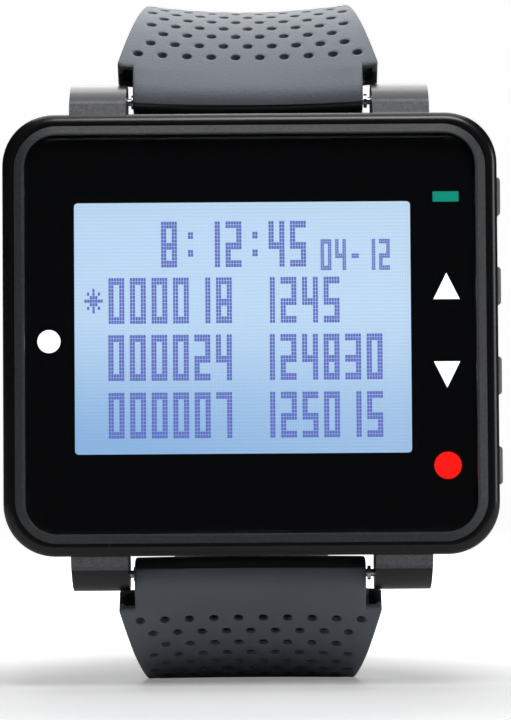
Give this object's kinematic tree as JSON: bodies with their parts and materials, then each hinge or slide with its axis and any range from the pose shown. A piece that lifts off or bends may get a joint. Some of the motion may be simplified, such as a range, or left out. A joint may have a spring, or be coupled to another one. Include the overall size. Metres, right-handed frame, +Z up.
{
  "type": "wrist watch pager",
  "caption": "Rectangular wrist-watch pager with a blue message display, side keys and an open rubber strap with a steel buckle.",
  "frame": {"origin": "on the surface the watch stands on, under the middle of its bounding box, with x = 0 on the strap's middle plane", "axes": "+X towards the side keys, +Y from the display towards the wrist and the strap tail, +Z up, towards the upper strap"},
  "size_m": [0.0521, 0.0996, 0.0743],
  "materials": {
    "case_black": "satin",
    "cover_black": "matte",
    "lens": "gloss",
    "mask_black": "gloss",
    "print_white": "satin",
    "print_red": "satin",
    "led_green": "satin",
    "led_body": "satin",
    "lcd_glass": "gloss",
    "lcd_rear": "gloss",
    "chip": "matte",
    "backlight": "satin",
    "frame_white": "satin",
    "flex": "satin",
    "board": "satin",
    "shield": "satin",
    "ferrite": "matte",
    "copper": "satin",
    "brass_disc": "satin",
    "gold": "gloss",
    "cell": "satin",
    "wire_red": "satin",
    "wire_black": "satin",
    "seal": "matte",
    "weight": "satin",
    "steel": "gloss",
    "spring_steel": "satin",
    "buckle_steel": "satin",
    "strap_rubber": "matte",
    "key_grey": "satin"
  },
  "bodies": {
    "head": {"antenna_coil": "copper", "antenna_rod": "ferrite", "bar_spring_lower": "spring_steel", "bar_spring_upper": "spring_steel", "battery": "cell", "battery_lead_black": "wire_black", "battery_lead_red": "wire_red", "battery_socket": "frame_white", "buzzer": "brass_disc", "case_gasket": "seal", "case_screws": "steel", "charge_contacts": "gold", "crystal": "shield", "front_housing": "case_black", "key_symbols": "print_white", "lcd_backlight": "backlight", "lcd_driver": "chip", "lcd_flex": "flex", "lcd_frame": "frame_white", "lcd_front_glass": "lcd_glass", "lcd_rear_glass": "lcd_rear", "led_window": "led_green", "main_board": "board", "microcontroller": "chip", "motor_can": "shield", "motor_cradle": "seal", "radio_receiver": "shield", "rear_cover": "cover_black", "side_switch_1": "chip", "side_switch_2": "chip", "side_switch_3": "chip", "side_switch_4": "chip", "small_components": "chip", "spring_bar_lower": "steel", "spring_bar_upper": "steel", "status_led": "led_body", "stop_symbol": "print_red", "window_lens": "lens", "window_mask": "mask_black"},
    "upper_strap": {"strap_upper": "strap_rubber", "keeper_fixed": "strap_rubber"},
    "lower_strap": {"strap_lower": "strap_rubber"},
    "keeper": {"keeper_free": "strap_rubber"},
    "buckle": {"buckle_frame": "buckle_steel", "buckle_bar": "steel"},
    "prong": {"buckle_prong": "buckle_steel"},
    "motor_weight": {"motor_rotor": "weight"},
    "key_1": {"side_button_1": "key_grey", "switch_plunger_1": "frame_white"},
    "key_2": {"side_button_2": "key_grey", "switch_plunger_2": "frame_white"},
    "key_3": {"side_button_3": "key_grey", "switch_plunger_3": "frame_white"},
    "key_4": {"side_button_4": "key_grey", "switch_plunger_4": "frame_white"},
    "tip_upper_left": {"bar_tip_upper_left": "steel"},
    "tip_upper_right": {"bar_tip_upper_right": "steel"},
    "tip_lower_left": {"bar_tip_lower_left": "steel"},
    "tip_lower_right": {"bar_tip_lower_right": "steel"}
  },
  "joints": [
    {"name": "upper_strap_swing", "type": "hinge", "parent": "head", "child": "upper_strap", "pos_m": [0, -0.0418, 0.06185], "axis": [1, 0, 0], "range_deg": [0, 55]},
    {"name": "lower_strap_swing", "type": "hinge", "parent": "head", "child": "lower_strap", "pos_m": [0, -0.0418, 0.01185], "axis": [-1, 0, 0], "range_deg": [0, 55]},
    {"name": "keeper_slide", "type": "hinge", "parent": "upper_strap", "child": "keeper", "pos_m": [0, -0.0205, 0.03265], "axis": [1, 0, 0], "range_deg": [-8, 26]},
    {"name": "buckle_swing", "type": "hinge", "parent": "upper_strap", "child": "buckle", "pos_m": [0, 0.0195, 0.03265], "axis": [1, 0, 0], "range_deg": [-45, 65]},
    {"name": "prong_swing", "type": "hinge", "parent": "buckle", "child": "prong", "pos_m": [0, 0.0195, 0.03265], "axis": [1, 0, 0], "range_deg": [0, 75]},
    {"name": "motor_spin", "type": "hinge", "parent": "head", "child": "motor_weight", "pos_m": [0.0044, -0.04005, 0.05395], "axis": [1, 0, 0], "continuous": true},
    {"name": "key_1_press", "type": "slide", "parent": "head", "child": "key_1", "axis": [-1, 0, 0], "range_m": [0, 0.0003], "stiffness_N_per_m": 2000, "springref_m": -0.0003},
    {"name": "key_2_press", "type": "slide", "parent": "head", "child": "key_2", "axis": [-1, 0, 0], "range_m": [0, 0.0003], "stiffness_N_per_m": 2000, "springref_m": -0.0003},
    {"name": "key_3_press", "type": "slide", "parent": "head", "child": "key_3", "axis": [-1, 0, 0], "range_m": [0, 0.0003], "stiffness_N_per_m": 2000, "springref_m": -0.0003},
    {"name": "key_4_press", "type": "slide", "parent": "head", "child": "key_4", "axis": [-1, 0, 0], "range_m": [0, 0.0003], "stiffness_N_per_m": 2000, "springref_m": -0.0003},
    {"name": "tip_upper_left_retract", "type": "slide", "parent": "head", "child": "tip_upper_left", "axis": [1, 0, 0], "range_m": [0, 0.0011], "stiffness_N_per_m": 600, "springref_m": -0.001, "deforming": ["bar_spring_upper"]},
    {"name": "tip_upper_right_retract", "type": "slide", "parent": "head", "child": "tip_upper_right", "axis": [-1, 0, 0], "range_m": [0, 0.0011], "stiffness_N_per_m": 600, "springref_m": -0.001, "deforming": ["bar_spring_upper"]},
    {"name": "tip_lower_left_retract", "type": "slide", "parent": "head", "child": "tip_lower_left", "axis": [1, 0, 0], "range_m": [0, 0.0011], "stiffness_N_per_m": 600, "springref_m": -0.001, "deforming": ["bar_spring_lower"]},
    {"name": "tip_lower_right_retract", "type": "slide", "parent": "head", "child": "tip_lower_right", "axis": [-1, 0, 0], "range_m": [0, 0.0011], "stiffness_N_per_m": 600, "springref_m": -0.001, "deforming": ["bar_spring_lower"]}
  ]
}
